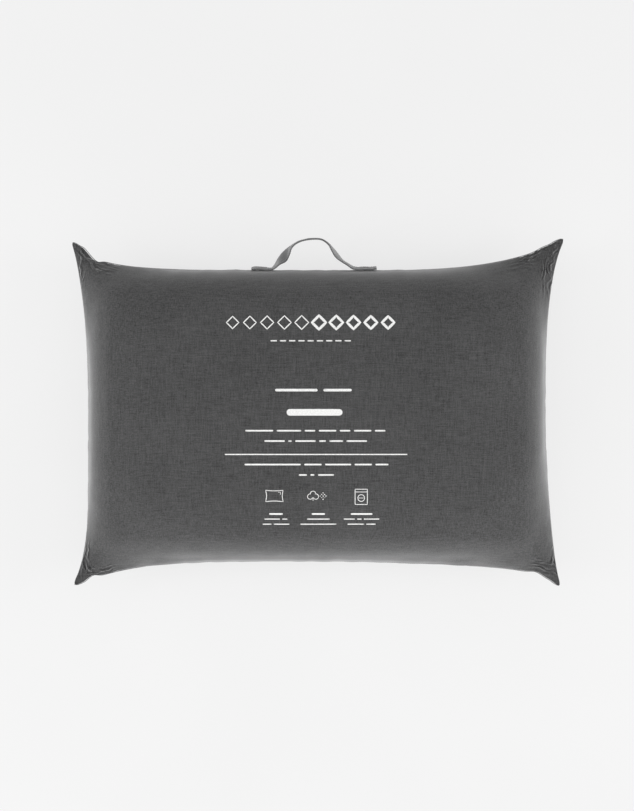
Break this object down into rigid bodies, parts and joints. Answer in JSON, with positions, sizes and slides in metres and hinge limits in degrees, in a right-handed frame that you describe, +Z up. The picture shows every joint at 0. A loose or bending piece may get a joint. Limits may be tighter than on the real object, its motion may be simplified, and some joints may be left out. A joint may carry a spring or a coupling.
{
  "type": "bed pillow",
  "caption": "Rectangular foam bed pillow in a zipped fabric cover with pinched corner ears and a carry handle sewn to one long edge.",
  "frame": {"origin": "centre of the flat patch on the back that the pillow rests on", "axes": "+X along the long edges, +Y towards the edge with the handle, +Z up, out of the printed front"},
  "size_m": [0.656, 0.4702, 0.112],
  "materials": {
    "foam": "open-cell memory foam",
    "liner_knit": "thin white knit",
    "cover_cloth": "charcoal cotton and polyester weave",
    "thread": "polyester sewing thread",
    "zip_tape": "woven polyester tape",
    "zip_coil": "nylon coil",
    "zip_metal": "black enamel",
    "print_ink": "white screen print"
  },
  "bodies": {
    "pillow": {"foam_core": "foam", "liner_front": "liner_knit", "liner_back": "liner_knit", "liner_seam_thread": "thread", "cover_front": "cover_cloth", "cover_back": "cover_cloth", "cover_seam_thread": "thread", "zip_tape_front": "zip_tape", "zip_tape_back": "zip_tape", "zip_coil_front": "zip_coil", "zip_coil_back": "zip_coil", "zip_top_stop_front": "zip_metal", "zip_top_stop_back": "zip_metal", "zip_bottom_stop": "zip_metal", "zip_stitch_front": "thread", "zip_stitch_back": "thread", "handle_tab_left": "cover_cloth", "handle_tab_right": "cover_cloth", "handle_stitch_left": "thread", "handle_stitch_right": "thread"},
    "handle": {"handle_loop": "cover_cloth"},
    "slider": {"zip_slider_body": "zip_metal", "zip_slider_crown": "zip_metal"},
    "pull": {"zip_pull": "zip_metal"}
  },
  "joints": [
    {"name": "handle_swing", "type": "hinge", "parent": "pillow", "child": "handle", "pos_m": [0, 0.2085, 0.058], "axis": [1, 0, 0], "range_deg": [-80, 80]},
    {"name": "zip_open", "type": "slide", "parent": "pillow", "child": "slider", "axis": [-1, 0, 0], "range_m": [0, 0.379]},
    {"name": "pull_lift", "type": "hinge", "parent": "slider", "child": "pull", "pos_m": [0.18685, -0.19455, 0.052], "axis": [0, 0, 1], "range_deg": [0, 160]}
  ]
}
